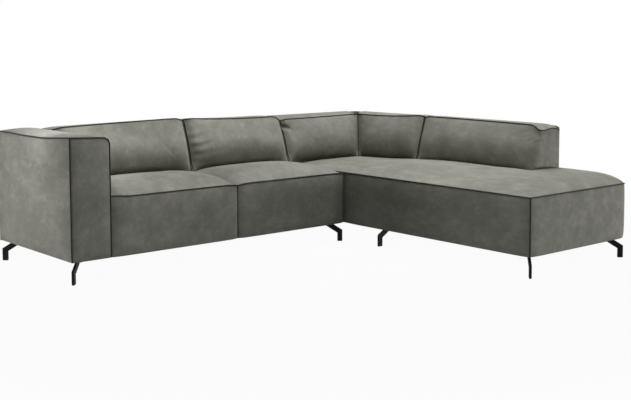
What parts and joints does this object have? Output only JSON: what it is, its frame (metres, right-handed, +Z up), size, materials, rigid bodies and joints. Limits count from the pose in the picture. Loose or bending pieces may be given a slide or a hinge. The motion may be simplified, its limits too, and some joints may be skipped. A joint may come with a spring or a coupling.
{
  "type": "corner sofa",
  "caption": "L-shaped upholstered corner sofa with one box arm, piped fixed cushions, an open chaise end and bent flat-bar legs, in two coupled modules.",
  "frame": {"origin": "On the floor, under the middle of the sofa's bounding box.", "axes": "+X runs along the two-seat wing from its arm to the corner, +Y to the rear of that wing, +Z up."},
  "size_m": [2.8199, 2.4, 0.7844],
  "materials": {
    "upholstery": "matte",
    "foam": "matte",
    "felt": "matte",
    "webbing": "matte",
    "dust_cloth": "matte",
    "timber": "matte",
    "hardboard": "matte",
    "black_metal": "satin",
    "zinc_steel": "satin",
    "black_plastic": "matte"
  },
  "bodies": {
    "two_seat_module": {"arm_cover": "upholstery", "arm_foam": "foam", "arm_front_board": "timber", "arm_side_panels": "timber", "arm_top_board": "timber", "back_cover_1": "upholstery", "back_cover_2": "upholstery", "back_foam_1": "foam", "back_foam_2": "foam", "coupling_tongues": "zinc_steel", "left_back_panel": "hardboard", "left_back_posts": "timber", "left_back_top_rail": "timber", "left_corner_blocks": "timber", "left_cross_rails": "timber", "left_dust_cover": "dust_cloth", "left_joining_rail": "timber", "left_leg_glides": "black_plastic", "left_long_rails": "timber", "left_outside_cover": "upholstery", "left_screws": "zinc_steel", "left_webbing": "webbing", "left_webbing_felt": "felt", "leg_arm_front": "black_metal", "leg_arm_rear": "black_metal", "leg_join_front": "black_metal", "leg_join_rear": "black_metal", "seat_cover_1": "upholstery", "seat_cover_2": "upholstery", "seat_foam_1": "foam", "seat_foam_2": "foam"},
    "corner_module": {"back_cover_3": "upholstery", "back_cover_4": "upholstery", "back_cover_5": "upholstery", "back_foam_3": "foam", "back_foam_4": "foam", "back_foam_5": "foam", "corner_seat_cover": "upholstery", "corner_seat_foam": "foam", "coupling_sockets": "black_plastic", "leg_corner_inner": "black_metal", "leg_corner_outer": "black_metal", "leg_end_inner": "black_metal", "leg_end_outer": "black_metal", "leg_mid_inner": "black_metal", "leg_mid_outer": "black_metal", "right_back_panels": "hardboard", "right_back_posts": "timber", "right_back_top_rails": "timber", "right_corner_blocks": "timber", "right_cross_rails": "timber", "right_dust_cover": "dust_cloth", "right_inner_rail": "timber", "right_leg_glides": "black_plastic", "right_middle_slat": "timber", "right_outer_rail": "timber", "right_outside_cover": "upholstery", "right_screws": "zinc_steel", "right_webbing": "webbing", "right_webbing_felt": "felt"}
  },
  "joints": [
    {"name": "module_lift", "type": "slide", "parent": "two_seat_module", "child": "corner_module", "axis": [0, 0, 1], "range_m": [0, 0.06]}
  ]
}
